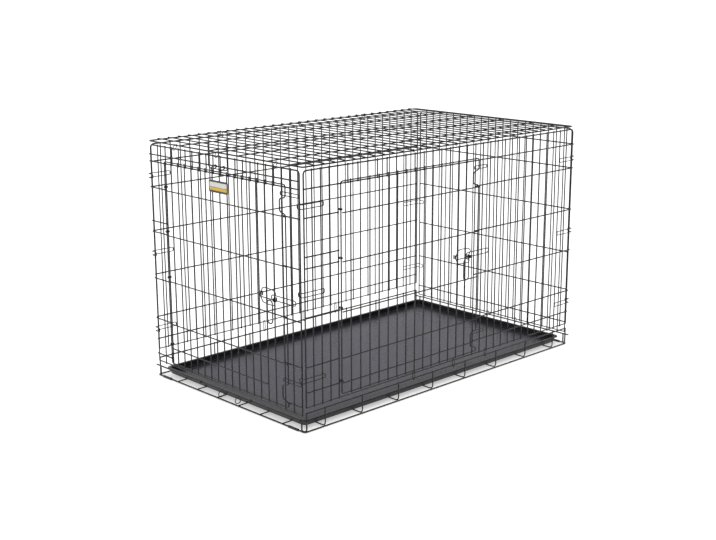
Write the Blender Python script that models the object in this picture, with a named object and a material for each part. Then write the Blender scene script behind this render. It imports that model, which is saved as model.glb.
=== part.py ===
"""Folding wire dog crate with two doors and a slide-out pan.

Metres, +Z up. +X runs along the crate from the door end to the plain end, and the
long side with the side door faces -Y. The origin is on the floor below the centre.
"""

import math

import bmesh
import bpy
from mathutils import Matrix, Vector

# Overall frame
SIDE_HALF = 0.629  # half length of the long panels and the roof
END_X = 0.634  # plane of the two end panels
END_HALF = 0.365  # half width of an end panel, to its outer wires; it folds between the hinge rings
SIDE_Y = 0.374  # plane of the two long panels
WALL_TOP = 0.787  # top wire of every wall
ROOF_Z = 0.797  # edge wires of the roof
ROOF_NEAR_Y = -0.374
ROOF_FAR_Y = 0.384  # the roof's hinge wire stands proud of the far wall
ROOF_LEVELS_Y = (-0.310, -0.215, -0.075, 0.070, 0.220)

# Wire sizes
GRID_R = 0.0018
FRAME_R = 0.0025
ROD_R = 0.0015
RING_R = 0.0011
CROSS = 0.0032  # offset between the two layers of a welded grid
GAP = 0.0003

# Heights of the hinge wires. The rear and long walls fold down to their own levels.
REAR_AXIS_Z = 0.046
FRONT_LOW_Z = 0.056  # the door end hangs from the roof; this is its bottom wire
NEAR_AXIS_Z = 0.080
FAR_AXIS_Z = 0.094

# Base
FOOT_R = 0.0042
BASE_Z = FOOT_R
BASE_OVERHANG = 0.002
RIM_Z = 0.062
BAR_Z = 0.037
BAR_OVERHANG = 0.378
FLOOR_CROSS_X = (-0.552, -0.397, -0.238, -0.079, 0.079, 0.238, 0.397, 0.552)
FLOOR_LONG_Y = (-0.275, -0.168, -0.061, 0.046, 0.153, 0.26)
FOOT_LENGTH = 0.045
FOOT_Y = 0.322

# Pan
PAN_HALF = (0.614, 0.350)
PAN_LIP = 0.006
PAN_Z = (0.0105, 0.0312)  # the lip slides out under the bar and its clips
PAN_WALL = 0.0025
PULL_Y = (-0.055, 0.030)
PULL_OUT = 0.0125
PULL_Z = 0.0215
PULL_SIZE = (0.022, 0.019)

# Panel wires: upright pitch and heights of the level wires
PITCH = 0.040
WIDE_PITCH = 2 * PITCH  # the plain grilles carry every second upright as a solid
SIDE_LEVELS = (0.127, 0.205, 0.356, 0.503, 0.651, 0.735)
FAR_LEVELS = (0.128, 0.205, 0.352, 0.500, 0.647, 0.730)
END_LEVELS = (0.082, 0.205, 0.343, 0.501, 0.649, 0.734)
HEAD_LEVEL = 0.757

# Doors, given along each panel from its hinge edge to its latch edge
DOOR_OFF = 0.008  # door uprights stand this far outside the panel plane
FRONT_DOOR = (-0.280, 0.312)
FRONT_DOOR_Z = (0.068, 0.742)
FRONT_BAY = (-0.284, 0.289)  # the panel's own edges of the doorway
SIDE_DOOR = (-0.490, 0.120)
SIDE_DOOR_Z = (0.092, 0.742)
SIDE_BAY = (-0.494, 0.112)
DOOR_LEVELS = (0.205, 0.349, 0.502, 0.649)
DOOR_FRAME_R = 0.0021
JOG = 0.026  # the latch edge steps in by this much beside each catch
JOG_RISE = 0.006  # height of the slope at each end of a step
FRONT_JOGS = ((0.705, 0.655), (0.140, 0.085))  # top and bottom of each step
SIDE_JOGS = ((0.705, 0.655), (0.165, 0.105))
CATCH_OFF = 0.0028
CATCH_LENGTH = 0.066
CATCH_HEIGHT = 0.010
FRONT_CATCH_Z = (0.150, 0.714)
SIDE_CATCH_Z = (0.157, 0.712)
EYE_R = 0.0042
EYE_TAIL = 0.005  # the eye is a stretched loop that reaches back to the panel
EYE_Z = (0.135, 0.363, 0.515, 0.661)

# Corner hooks, as loops on the long panels with matching keepers on the end panels
HOOK_Z = (0.165, 0.426, 0.685)
HOOK_HEIGHT = 0.014
HOOK_LENGTH = 0.072
KEEPER_LENGTH = 0.036

# Latches
BRACKET_OFF = 0.0140
BRACKET_BACK = 0.012  # the bracket's middle lies this far back from the handle
BRACKET_SIZE = (0.074, 0.048)
BOLT_R = 0.0014
BOLT_OFF = 0.0176
BOLT_HEIGHT = 0.012
BOLT_LENGTH = 0.125
HANDLE_BACK = 0.105  # the handle hangs this far back from the bolt's end
FRONT_BOLT_Z = 0.399
SIDE_BOLT_Z = 0.431
FRONT_BOLT_END = 0.350  # where the bolt's far end stands, along the panel
SIDE_BOLT_END = 0.160
HANDLE_BELOW = BOLT_HEIGHT / 2 + 0.0033  # from the bolt's middle to the handle's pivot
HANDLE_DROP = 0.060
HANDLE_WIDTH = 0.022

# Carry handle and name plate
CARRY_OFF = 0.015
CARRY_BEND = 0.008
CARRY_Z = (0.752, 0.834)
CARRY_S = (-0.036, 0.056)
CARRY_LINK_S = (-0.018, 0.023)
PLATE_THICK = 0.0016
PLATE_S = (-0.044, 0.050)
PLATE_Z = (0.677, 0.715)

# Closed rings round pairs of wires
LINK_R = 0.0043
WIDE_LINK_R = 0.0049
REAR_RING_Y = (-0.137, 0.0, 0.135)
FRONT_RING_Y = (0.235, 0.018, -0.256)
BAR_CLIP_Y = (0.135, -0.120, -0.355)
SIDE_RING_X = (-0.170, 0.020, 0.180)
ROOF_RING_X = (-0.334, 0.019, 0.334)
ROOF_CLIP_X = (-0.176, 0.019, 0.176)

COLOURS = {
    "coated_wire": ((0.028, 0.029, 0.031), 0.35, 0.3),
    "pan_plastic": ((0.075, 0.078, 0.095), 0.45, 0.0),
    "foot_plastic": ((0.012, 0.012, 0.013), 0.5, 0.0),
    "ring_steel": ((0.035, 0.035, 0.038), 0.35, 0.6),
    "plate": ((0.72, 0.70, 0.55), 0.45, 0.0),
}


def clear_scene():
    for obj in list(bpy.data.objects):
        bpy.data.objects.remove(obj, do_unlink=True)


def make_collection(name):
    collection = bpy.data.collections.new(name)
    bpy.context.scene.collection.children.link(collection)
    return collection


def make_material(node, finish):
    colour, roughness, metallic = COLOURS[finish]
    material = bpy.data.materials.new(node)
    material.use_nodes = True
    shader = material.node_tree.nodes["Principled BSDF"]
    shader.inputs["Base Color"].default_value = (*colour, 1)
    shader.inputs["Roughness"].default_value = roughness
    shader.inputs["Metallic"].default_value = metallic
    return material


def finish_node(obj, finish, parent=None):
    """Put a solid in the crate's collection, with its own material and its joint's empty as parent."""
    obj.data.materials.clear()
    obj.data.materials.append(make_material(obj.name, finish))
    PARTS.objects.link(obj)
    if parent:
        obj.parent = PIVOTS[parent]
        obj.matrix_parent_inverse = Matrix.Translation(-Vector(PIVOTS[parent].location))
    return obj


def add_rod(bm, start, end, radius, sides=4):
    """A straight wire: a capped prism from start to end."""
    start, end = Vector(start), Vector(end)
    along = end - start
    turn = along.to_track_quat("Z", "Y").to_matrix().to_4x4()
    flat = Matrix.Rotation(math.pi / sides, 4, "Z")
    place = Matrix.Translation((start + end) / 2) @ turn @ flat
    bmesh.ops.create_cone(
        bm,
        cap_ends=True,
        segments=sides,
        radius1=radius / math.cos(math.pi / sides),
        radius2=radius / math.cos(math.pi / sides),
        depth=along.length,
        matrix=place,
    )


def mesh_from_rods(name, rods):
    """One mesh that holds several wires. Each is (start, end, radius) or (start, end, radius, sides)."""
    bm = bmesh.new()
    for rod in rods:
        add_rod(bm, *rod)
    mesh = bpy.data.meshes.new(name)
    bm.to_mesh(mesh)
    bm.free()
    return mesh


def wire_mesh(name, points, radius, cyclic=False, resolution=0):
    """A bent wire through these points, turned into a welded mesh."""
    curve = bpy.data.curves.new(name + "_path", "CURVE")
    curve.dimensions = "3D"
    curve.bevel_depth = radius
    curve.bevel_resolution = resolution
    curve.use_fill_caps = not cyclic
    spline = curve.splines.new("POLY")
    spline.points.add(len(points) - 1)
    for point, place in zip(spline.points, points):
        point.co = (*place, 1)
    spline.use_cyclic_u = cyclic
    guide = bpy.data.objects.new(name + "_path", curve)
    bpy.context.scene.collection.objects.link(guide)
    graph = bpy.context.evaluated_depsgraph_get()
    mesh = bpy.data.meshes.new_from_object(guide.evaluated_get(graph))
    bpy.data.objects.remove(guide, do_unlink=True)
    bm = bmesh.new()
    bm.from_mesh(mesh)
    bmesh.ops.remove_doubles(bm, verts=bm.verts, dist=0.00001)
    bmesh.ops.recalc_face_normals(bm, faces=bm.faces)
    bm.to_mesh(mesh)
    bm.free()
    return mesh


def joined_mesh(name, meshes):
    """Several meshes as one, for shapes that stay apart until a union joins them to a panel."""
    bm = bmesh.new()
    for mesh in meshes:
        bm.from_mesh(mesh)
    joined = bpy.data.meshes.new(name)
    bm.to_mesh(joined)
    bm.free()
    return joined


def boolean(obj, mesh, operation):
    cutter = bpy.data.objects.new(obj.name + "_" + mesh.name, mesh)
    cutter.hide_render = True
    cutter.display_type = "WIRE"
    CUTTERS.objects.link(cutter)
    modifier = obj.modifiers.new(mesh.name, "BOOLEAN")
    modifier.operation = operation
    modifier.object = cutter


def end_frame(side):
    """Maps (s, off, z) on an end panel to a point: s runs to -Y, off runs outwards. side is -1 at the door end."""
    return lambda s, off, z: (side * (END_X + off), -s, z)


def side_frame(side):
    """Maps (s, off, z) on a long panel to a point: s runs to +X, off runs outwards. side is -1 at the near side."""
    return lambda s, off, z: (s, side * (SIDE_Y + off), z)


def spread(low, high, pitch):
    """Even places strictly between low and high, about a pitch apart."""
    count = max(1, round((high - low) / pitch))
    return [low + (high - low) * i / count for i in range(1, count)]


def stadium(centre, across, up, length, height, steps=3):
    """Points of a closed loop with round ends, length along across and height along up."""
    centre, across, up = Vector(centre), Vector(across), Vector(up)
    radius = height / 2
    points = []
    for sign, start in ((1, -math.pi / 2), (-1, math.pi / 2)):
        middle = centre + across * sign * (length / 2 - radius)
        for i in range(steps + 1):
            angle = start + math.pi * i / steps
            points.append(middle + (across * math.cos(angle) + up * math.sin(angle)) * radius)
    return points


def grid(name, frame, s_range, z_range, edges, uprights, levels, parent, extras=()):
    """A welded grille: uprights in the panel plane, level wires just outside them, joined to one solid.

    edges says which of left, right, bottom and top carry a thick frame wire.
    """
    (s0, s1), (z0, z1) = s_range, z_range
    rods = []
    for s, key in ((s0, "left"), (s1, "right")):
        radius = FRAME_R if key in edges else GRID_R
        inset = radius if s == s0 else -radius
        rods.append((frame(s + inset, 0, z0 - FRAME_R), frame(s + inset, 0, z1), radius, 4))
    for s in uprights:
        rods.append((frame(s, 0, z0), frame(s, 0, z1), GRID_R, 4))
    obj = bpy.data.objects.new(name, mesh_from_rods(name, rods))
    level_rods = [(frame(s0, 0, z), frame(s1, 0, z), FRAME_R, 6) for z in (z0, z1)]
    level_rods += [(frame(s0, CROSS, z), frame(s1, CROSS, z), GRID_R, 4) for z in levels]
    boolean(obj, mesh_from_rods("levels", level_rods), "UNION")
    if extras:
        boolean(obj, joined_mesh("loops", extras), "UNION")
    return finish_node(obj, "coated_wire", parent)


def plain_node(name, mesh, finish, parent=None):
    return finish_node(bpy.data.objects.new(name, mesh), finish, parent)


def add_pivots():
    """One empty for each moving body, on its joint's axis."""
    places = {
        "rear_fold": (END_X, 0, REAR_AXIS_Z),
        "front_fold": (-END_X, 0, WALL_TOP),
        "near_fold": (0, -SIDE_Y, NEAR_AXIS_Z),
        "far_fold": (0, SIDE_Y, FAR_AXIS_Z),
        "top_fold": (0, ROOF_FAR_Y, ROOF_Z),
        "front_door_swing": (-END_X - DOOR_OFF, -FRONT_DOOR[0], FRONT_LOW_Z),
        "side_door_swing": (SIDE_DOOR[0], -SIDE_Y - DOOR_OFF, NEAR_AXIS_Z),
        "front_bolt_slide": (-END_X - BOLT_OFF, 0, FRONT_BOLT_Z),
        "side_bolt_slide": (0, -SIDE_Y - BOLT_OFF, SIDE_BOLT_Z),
        "front_handle_swing": (-END_X - BOLT_OFF, 0, FRONT_BOLT_Z - HANDLE_BELOW),
        "side_handle_swing": (0, -SIDE_Y - BOLT_OFF, SIDE_BOLT_Z - HANDLE_BELOW),
        "carry_handle_swing": (-END_X - CARRY_OFF, 0, CARRY_Z[0]),
        "pan_slide": (0, 0, PAN_Z[0]),
    }
    for name, place in places.items():
        empty = bpy.data.objects.new(name, None)
        empty.location = place
        PARTS.objects.link(empty)
        PIVOTS[name] = empty


def add_base():
    """Floor grid, the two long rims on their risers, and the two end bars on their posts."""
    rods = [((x, -SIDE_Y, BASE_Z), (x, SIDE_Y, BASE_Z), GRID_R, 4) for x in FLOOR_CROSS_X]
    rods += [((x, -SIDE_Y, BASE_Z), (x, SIDE_Y, BASE_Z), FRAME_R, 6) for x in (-END_X, END_X)]
    floor = bpy.data.objects.new("base_floor", mesh_from_rods("base_floor", rods))
    long_z = BASE_Z + CROSS - 2 * GAP
    longs = [((-END_X, y, long_z), (END_X, y, long_z), GRID_R, 4) for y in FLOOR_LONG_Y]
    longs += [((-END_X - BASE_OVERHANG, y, BASE_Z), (END_X + BASE_OVERHANG, y, BASE_Z), FRAME_R, 6)
              for y in (-SIDE_Y, SIDE_Y)]
    boolean(floor, mesh_from_rods("long_wires", longs), "UNION")
    finish_node(floor, "coated_wire")
    riser_foot = BASE_Z + FRAME_R + GAP
    ends = SIDE_HALF - FRAME_R
    for name, y in (("base_rim_near", -SIDE_Y), ("base_rim_far", SIDE_Y)):
        risers = [((x, y, riser_foot), (x, y, RIM_Z), GRID_R, 4) for x in FLOOR_CROSS_X]
        risers += [((x, y, riser_foot), (x, y, RIM_Z), FRAME_R, 4) for x in (-ends, ends)]
        rim = bpy.data.objects.new(name, mesh_from_rods(name, risers))
        bar = ((-SIDE_HALF, y, RIM_Z), (SIDE_HALF, y, RIM_Z), FRAME_R, 6)
        boolean(rim, mesh_from_rods("rim_bar", [bar]), "UNION")
        finish_node(rim, "coated_wire")
    for name, x in (("base_bar_front", -END_X), ("base_bar_rear", END_X)):
        posts = [((x, y, riser_foot), (x, y, BAR_Z), FRAME_R, 4) for y in (-END_HALF, END_HALF)]
        obj = bpy.data.objects.new(name, mesh_from_rods(name, posts))
        bar = ((x, -BAR_OVERHANG, BAR_Z), (x, BAR_OVERHANG, BAR_Z), FRAME_R, 6)
        boolean(obj, mesh_from_rods("end_bar", [bar]), "UNION")
        finish_node(obj, "coated_wire")


def add_feet():
    """Four plastic sleeves round the end wires of the floor grid. The crate stands on them."""
    for end, x in (("front", -END_X), ("rear", END_X)):
        for side, y in (("near", -FOOT_Y), ("far", FOOT_Y)):
            half = FOOT_LENGTH / 2
            name = f"foot_sleeve_{end}_{side}"
            outer = [((x, y - half, BASE_Z), (x, y + half, BASE_Z), FOOT_R, 8)]
            bore = [((x, y - FOOT_LENGTH, BASE_Z), (x, y + FOOT_LENGTH, BASE_Z), FRAME_R + GAP, 6)]
            obj = bpy.data.objects.new(name, mesh_from_rods(name, outer))
            boolean(obj, mesh_from_rods("bore", bore), "DIFFERENCE")
            finish_node(obj, "foot_plastic")


def box_mesh(name, low, high):
    bm = bmesh.new()
    size = [b - a for a, b in zip(low, high)]
    middle = Vector([(a + b) / 2 for a, b in zip(low, high)])
    place = Matrix.Translation(middle) @ Matrix.Diagonal((*size, 1))
    bmesh.ops.create_cube(bm, size=1, matrix=place)
    mesh = bpy.data.meshes.new(name)
    bm.to_mesh(mesh)
    bm.free()
    return mesh


def add_pan():
    """A shallow tray: a floor, four walls with an outward lip, and two wire pulls at its front.

    The tray is one moulding. It is given as five straight solids, so that each one's hull leaves it open.
    """
    (hx, hy), (z0, z1) = PAN_HALF, PAN_Z
    in_x, in_y = hx - PAN_WALL, hy - PAN_WALL
    out_x, out_y = hx + PAN_LIP, hy + PAN_LIP
    lip_z = z1 - PAN_WALL
    floor = box_mesh("pan", (GAP - in_x, GAP - in_y, z0), (in_x - GAP, in_y - GAP, z0 + PAN_WALL))
    plain_node("pan", floor, "pan_plastic", "pan_slide")
    walls = {  # low and high corners of the wall in plan, then of its lip
        "front": ((-hx, -hy), (-in_x, hy), (-out_x, -out_y), (-in_x, out_y)),
        "rear": ((in_x, -hy), (hx, hy), (in_x, -out_y), (out_x, out_y)),
        "near": ((GAP - in_x, -hy), (in_x - GAP, -in_y), (GAP - in_x, -out_y), (in_x - GAP, -in_y)),
        "far": ((GAP - in_x, in_y), (in_x - GAP, hy), (GAP - in_x, in_y), (in_x - GAP, out_y)),
    }
    for side, (wall_low, wall_high, lip_low, lip_high) in walls.items():
        name = f"pan_wall_{side}"
        obj = bpy.data.objects.new(name, box_mesh(name, (*wall_low, z0), (*wall_high, z1)))
        boolean(obj, box_mesh("lip", (*lip_low, lip_z), (*lip_high, z1)), "UNION")
        finish_node(obj, "pan_plastic", "pan_slide")
    front = -out_x - GAP
    for number, y in enumerate(PULL_Y, 1):
        points = stadium((front - PULL_OUT, y, PULL_Z), (1, 0, 0), (0, 0, 1), *PULL_SIZE)
        plain_node(f"pan_pull_{number}", wire_mesh("pull", points, ROD_R, cyclic=True),
                   "ring_steel", "pan_slide")


def hook_loops(frame, edge, inward):
    """Three closed loops welded on a long panel at one of its ends, reaching to the corner."""
    loops = []
    for z in HOOK_Z:
        middle = edge + inward * (HOOK_LENGTH / 2)
        centre = frame(middle, CROSS, z)
        across = Vector(frame(1, 0, 0)) - Vector(frame(0, 0, 0))
        loops.append(wire_mesh("hook", stadium(centre, across, (0, 0, 1), HOOK_LENGTH, HOOK_HEIGHT, 2),
                               ROD_R, cyclic=True))
    return loops


def keeper_loops(frame, edge, inward):
    """The short loops on an end panel that stand where the corner hooks lap its face."""
    loops = []
    for z in HOOK_Z:
        middle = edge + inward * (KEEPER_LENGTH / 2 + GAP)
        centre = frame(middle, CROSS, z)
        across = Vector(frame(1, 0, 0)) - Vector(frame(0, 0, 0))
        loops.append(wire_mesh("keeper", stadium(centre, across, (0, 0, 1), KEEPER_LENGTH, HOOK_HEIGHT, 2),
                               ROD_R, cyclic=True))
    return loops


def eye_loops(frame, door_s, levels):
    """Round eyes on a panel in which the door's hinge wire turns."""
    loops = []
    for z in levels:
        centre = Vector(frame(door_s, DOOR_OFF, z))
        along = Vector(frame(1, 0, 0)) - Vector(frame(0, 0, 0))
        out = Vector(frame(0, 1, 0)) - Vector(frame(0, 0, 0))
        points = stadium(centre - out * EYE_TAIL / 2, out, along, 2 * EYE_R + EYE_TAIL, 2 * EYE_R, 4)
        loops.append(wire_mesh("eye", points, RING_R, cyclic=True))
    return loops


def catch_loops(frame, s_start, heights):
    """Two hairpins welded on the panel beside the door's stepped edge."""
    across = Vector(frame(1, 0, 0)) - Vector(frame(0, 0, 0))
    loops = []
    for z in heights:
        centre = frame(s_start + CATCH_LENGTH / 2, CATCH_OFF, z)
        points = stadium(centre, across, (0, 0, 1), CATCH_LENGTH, CATCH_HEIGHT, 2)
        loops.append(wire_mesh("catch", points, ROD_R, cyclic=True))
    return loops


def add_walls():
    """Two long walls and two end walls. A wall with a doorway is two bays, a head and a sill."""
    near, far = side_frame(-1), side_frame(1)
    front, rear = end_frame(-1), end_frame(1)
    side_edge = SIDE_HALF
    hooks_left = hook_loops(near, -side_edge + ROD_R, 1)
    hooks_right = hook_loops(near, side_edge - ROD_R, -1)
    eyes = eye_loops(near, SIDE_DOOR[0], EYE_Z)
    grid("near_bay_front", near, (-side_edge, SIDE_BAY[0]), (NEAR_AXIS_Z, WALL_TOP), ("left",),
         spread(-side_edge, SIDE_BAY[0], PITCH), SIDE_LEVELS, "near_fold", hooks_left + eyes)
    grid("near_bay_rear", near, (SIDE_BAY[1], side_edge), (NEAR_AXIS_Z, WALL_TOP), ("right",),
         spread(SIDE_BAY[1], side_edge, WIDE_PITCH), SIDE_LEVELS, "near_fold",
         hooks_right + catch_loops(near, SIDE_BAY[1], SIDE_CATCH_Z))
    add_head_and_sill("near", near, SIDE_BAY, NEAR_AXIS_Z, SIDE_LEVELS[-1], (), "near_fold")
    grid("far_wall", far, (-side_edge, side_edge), (FAR_AXIS_Z, WALL_TOP), ("left", "right"),
         spread(-side_edge, side_edge, WIDE_PITCH), FAR_LEVELS, "far_fold",
         hook_loops(far, -side_edge + ROD_R, 1) + hook_loops(far, side_edge - ROD_R, -1))
    end = END_HALF + FRAME_R
    grid("rear_wall", rear, (-end, end), (REAR_AXIS_Z, WALL_TOP), ("left", "right"),
         spread(-end, end, WIDE_PITCH), END_LEVELS, "rear_fold",
         keeper_loops(rear, -end + ROD_R, 1) + keeper_loops(rear, end - ROD_R, -1))
    front_levels = END_LEVELS + (HEAD_LEVEL,)
    eyes = eye_loops(front, FRONT_DOOR[0], EYE_Z)
    grid("front_bay_left", front, (-end, FRONT_BAY[0]), (FRONT_LOW_Z, WALL_TOP), ("left",),
         spread(-end, FRONT_BAY[0], PITCH), front_levels, "front_fold",
         keeper_loops(front, -end + ROD_R, 1) + eyes)
    grid("front_bay_right", front, (FRONT_BAY[1], end), (FRONT_LOW_Z, WALL_TOP), ("right",),
         spread(FRONT_BAY[1], end, PITCH), front_levels, "front_fold",
         keeper_loops(front, end - ROD_R, -1) + catch_loops(front, FRONT_BAY[1], FRONT_CATCH_Z))
    add_head_and_sill("front", front, FRONT_BAY, FRONT_LOW_Z, END_LEVELS[-1], (HEAD_LEVEL,), "front_fold")


def add_head_and_sill(side, frame, bay, axis_z, head_z, levels, parent):
    """The strip of grille above a doorway, and the hinge wire below it."""
    s0, s1 = bay[0] + GAP, bay[1] - GAP
    uprights = [(frame(s, 0, head_z), frame(s, 0, WALL_TOP), GRID_R, 4) for s in spread(s0, s1, PITCH)]
    obj = bpy.data.objects.new(f"{side}_head", mesh_from_rods(f"{side}_head", uprights))
    rods = [(frame(s0, 0, WALL_TOP), frame(s1, 0, WALL_TOP), FRAME_R, 6)]
    rods += [(frame(s0, CROSS, z), frame(s1, CROSS, z), GRID_R, 4) for z in (head_z,) + levels]
    boolean(obj, mesh_from_rods("levels", rods), "UNION")
    finish_node(obj, "coated_wire", parent)
    sill = [(frame(s0, 0, axis_z), frame(s1, 0, axis_z), FRAME_R, 6)]
    plain_node(f"{side}_sill", mesh_from_rods(f"{side}_sill", sill), "coated_wire", parent)


def add_roof():
    """The top panel. Its far edge wire is its hinge."""
    end = SIDE_HALF
    near_y, far_y = ROOF_NEAR_Y, ROOF_FAR_Y
    rods = [((x, near_y, ROOF_Z), (x, far_y, ROOF_Z), GRID_R, 4) for x in spread(-end, end, WIDE_PITCH)]
    rods += [((x, near_y, ROOF_Z), (x, far_y, ROOF_Z), FRAME_R, 4) for x in (-end + FRAME_R, end - FRAME_R)]
    obj = bpy.data.objects.new("roof", mesh_from_rods("roof", rods))
    levels = [((-end, y, ROOF_Z), (end, y, ROOF_Z), FRAME_R, 6) for y in (near_y + FRAME_R, far_y)]
    level_z = ROOF_Z + CROSS
    levels += [((-end, y, level_z), (end, y, level_z), GRID_R, 4) for y in ROOF_LEVELS_Y]
    boolean(obj, mesh_from_rods("levels", levels), "UNION")
    finish_node(obj, "coated_wire", "top_fold")


def door_outline(frame, s_range, z_range, jogs):
    """The door's edge wire: straight at the hinge, with a step inwards beside each catch."""
    (s0, s1), (z0, z1) = s_range, z_range
    inner = s1 - JOG
    path = [(s0, z0), (s0, z1), (s1, z1)]
    for high, low in jogs:
        path += [(s1, high), (inner, high - JOG_RISE), (inner, low + JOG_RISE), (s1, low)]
    path.append((s1, z0))
    return [frame(s, DOOR_OFF, z) for s, z in path]


def add_door(name, frame, s_range, z_range, jogs, latch_s, parent):
    """A grille in its own bent edge wire, hung just outside the panel, with an upright behind the latch."""
    (s0, s1), (z0, z1) = s_range, z_range
    edge = wire_mesh("edge", door_outline(frame, s_range, z_range, jogs), DOOR_FRAME_R, cyclic=True)
    rods = [(frame(s, DOOR_OFF, z0), frame(s, DOOR_OFF, z1), GRID_R, 4)
            for s in spread(s0, s1 - JOG + JOG_RISE, WIDE_PITCH) + [latch_s]]
    obj = bpy.data.objects.new(name, mesh_from_rods(name, rods))
    boolean(obj, edge, "UNION")
    off = DOOR_OFF + CROSS
    levels = [(frame(s0, off, z), frame(s1, off, z), GRID_R, 4) for z in DOOR_LEVELS]
    boolean(obj, mesh_from_rods("levels", levels), "UNION")
    finish_node(obj, "coated_wire", parent)


def add_latch(prefix, frame, s_end, bolt_z, door_parent):
    """A bracket on the door, the hairpin bolt that slides in it, and the loop that pulls it."""
    across = Vector(frame(1, 0, 0)) - Vector(frame(0, 0, 0))
    up = Vector((0, 0, 1))
    s_handle = s_end - HANDLE_BACK
    bracket = stadium(frame(s_handle - BRACKET_BACK, BRACKET_OFF, bolt_z), across, up, *BRACKET_SIZE, 3)
    plain_node(f"{prefix}_latch_bracket", wire_mesh("bracket", bracket, ROD_R, cyclic=True),
               "coated_wire", door_parent)
    middle = frame(s_end - BOLT_LENGTH / 2, BOLT_OFF, bolt_z)
    bolt = stadium(middle, across, up, BOLT_LENGTH, BOLT_HEIGHT, 3)
    plain_node(f"{prefix}_latch_bolt", wire_mesh("bolt", bolt, BOLT_R, cyclic=True),
               "coated_wire", f"{prefix}_bolt_slide")
    top = bolt_z - HANDLE_BELOW
    centre = frame(s_handle, BOLT_OFF, top - HANDLE_DROP / 2)
    handle = stadium(centre, up, across, HANDLE_DROP, HANDLE_WIDTH, 4)
    plain_node(f"{prefix}_latch_handle", wire_mesh("handle", handle, BOLT_R, cyclic=True),
               "coated_wire", f"{prefix}_handle_swing")


def add_carry_handle():
    """The wire handle at the top of the door end, the two links it turns in, and the plate below."""
    front = end_frame(-1)
    (s0, s1), (z0, z1) = CARRY_S, CARRY_Z
    path = [(s0, z0), (s0, z1 - CARRY_BEND), (s0 + CARRY_BEND, z1),
            (s1 - CARRY_BEND, z1), (s1, z1 - CARRY_BEND), (s1, z0)]
    points = [front(s, CARRY_OFF, z) for s, z in path]
    plain_node("carry_handle", wire_mesh("handle", points, ROD_R, cyclic=True, resolution=1),
               "coated_wire", "carry_handle_swing")
    for number, s in enumerate(CARRY_LINK_S, 1):
        low, high = Vector(front(s, CARRY_OFF, z0)), Vector(front(s, CROSS, HEAD_LEVEL))
        points = link_points(low, high, (0, 1, 0))
        plain_node(f"carry_link_{number}", wire_mesh("link", points, RING_R, cyclic=True),
                   "ring_steel", "front_fold")
    front_face, back_face = DOOR_OFF + GRID_R + GAP + PLATE_THICK, DOOR_OFF + GRID_R + GAP
    low, high = front(PLATE_S[1], front_face, PLATE_Z[0]), front(PLATE_S[0], back_face, PLATE_Z[1])
    plain_node("name_plate", box_mesh("name_plate", low, high), "plate", "front_door_swing")


def link_points(one, other, axis, radius=LINK_R):
    """Points of a closed link round two parallel wires, in the plane across them."""
    along = (other - one).normalized()
    across = Vector(axis).cross(along)
    return stadium((one + other) / 2, along, across, (other - one).length + 2 * radius, 2 * radius, 4)


def add_ring(name, one, other, axis, parent=None, radius=LINK_R):
    """A closed link round two parallel wires. axis is the wires' direction."""
    points = link_points(Vector(one), Vector(other), axis, radius)
    plain_node(name, wire_mesh("ring", points, RING_R, cyclic=True), "ring_steel", parent)


def add_clip(name, centre, across, parent=None):
    """A round clip on a single wire."""
    points = stadium(centre, across, (0, 0, 1), 2 * LINK_R, 2 * LINK_R, 4)
    plain_node(name, wire_mesh("clip", points, RING_R, cyclic=True), "ring_steel", parent)


def add_rings():
    """Links that join each panel's hinge wire to the wire beside it, and clips on single wires."""
    along_y, along_x = (0, 1, 0), (1, 0, 0)
    for i, y in enumerate(REAR_RING_Y, 1):
        add_ring(f"rear_hinge_ring_{i}", (END_X, y, BAR_Z), (END_X, y, REAR_AXIS_Z), along_y)
    roof_wire_x = -SIDE_HALF + FRAME_R
    for i, y in enumerate(FRONT_RING_Y, 1):
        add_ring(f"front_hinge_ring_{i}", (-END_X, y, WALL_TOP), (roof_wire_x, y, ROOF_Z), along_y,
                 "top_fold", WIDE_LINK_R)
    for i, y in enumerate(BAR_CLIP_Y, 1):
        add_clip(f"front_bar_clip_{i}", (-END_X, y, BAR_Z), along_x)
    for i, x in enumerate(SIDE_RING_X, 1):
        add_ring(f"near_hinge_ring_{i}", (x, -SIDE_Y, RIM_Z), (x, -SIDE_Y, NEAR_AXIS_Z), along_x)
        add_ring(f"far_hinge_ring_{i}", (x, SIDE_Y, RIM_Z), (x, SIDE_Y, FAR_AXIS_Z), along_x)
    for i, x in enumerate(ROOF_RING_X, 1):
        add_ring(f"roof_hinge_ring_{i}", (x, SIDE_Y, WALL_TOP), (x, ROOF_FAR_Y, ROOF_Z), along_x, "far_fold")
    for i, x in enumerate(ROOF_CLIP_X, 1):
        add_clip(f"roof_edge_ring_{i}", (x, ROOF_NEAR_Y + FRAME_R, ROOF_Z), along_y, "top_fold")


PIVOTS = {}

clear_scene()
PARTS = make_collection("folding_dog_crate")
CUTTERS = make_collection("cutters")
add_pivots()
add_base()
add_feet()
add_pan()
add_walls()
add_roof()
add_door("front_door", end_frame(-1), FRONT_DOOR, FRONT_DOOR_Z, FRONT_JOGS,
         FRONT_BOLT_END - HANDLE_BACK, "front_door_swing")
add_door("side_door", side_frame(-1), SIDE_DOOR, SIDE_DOOR_Z, SIDE_JOGS,
         SIDE_BOLT_END - HANDLE_BACK, "side_door_swing")
add_latch("front", end_frame(-1), FRONT_BOLT_END, FRONT_BOLT_Z, "front_door_swing")
add_latch("side", side_frame(-1), SIDE_BOLT_END, SIDE_BOLT_Z, "side_door_swing")
add_carry_handle()
add_rings()
print(len([o for o in PARTS.objects if o.type == "MESH"]), "sub-parts")
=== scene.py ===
# %% [markdown]
# A folding wire dog crate.
# The crate is almost all wire: welded grilles, two doors in bent edge wires, hooks,
# slide bolts and hinge rings, around a shallow plastic pan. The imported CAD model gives
# the bodies and their places. Here each grille is drawn again with every wire round and
# at its full pitch, and each surface gets a finish with real detail.

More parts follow.
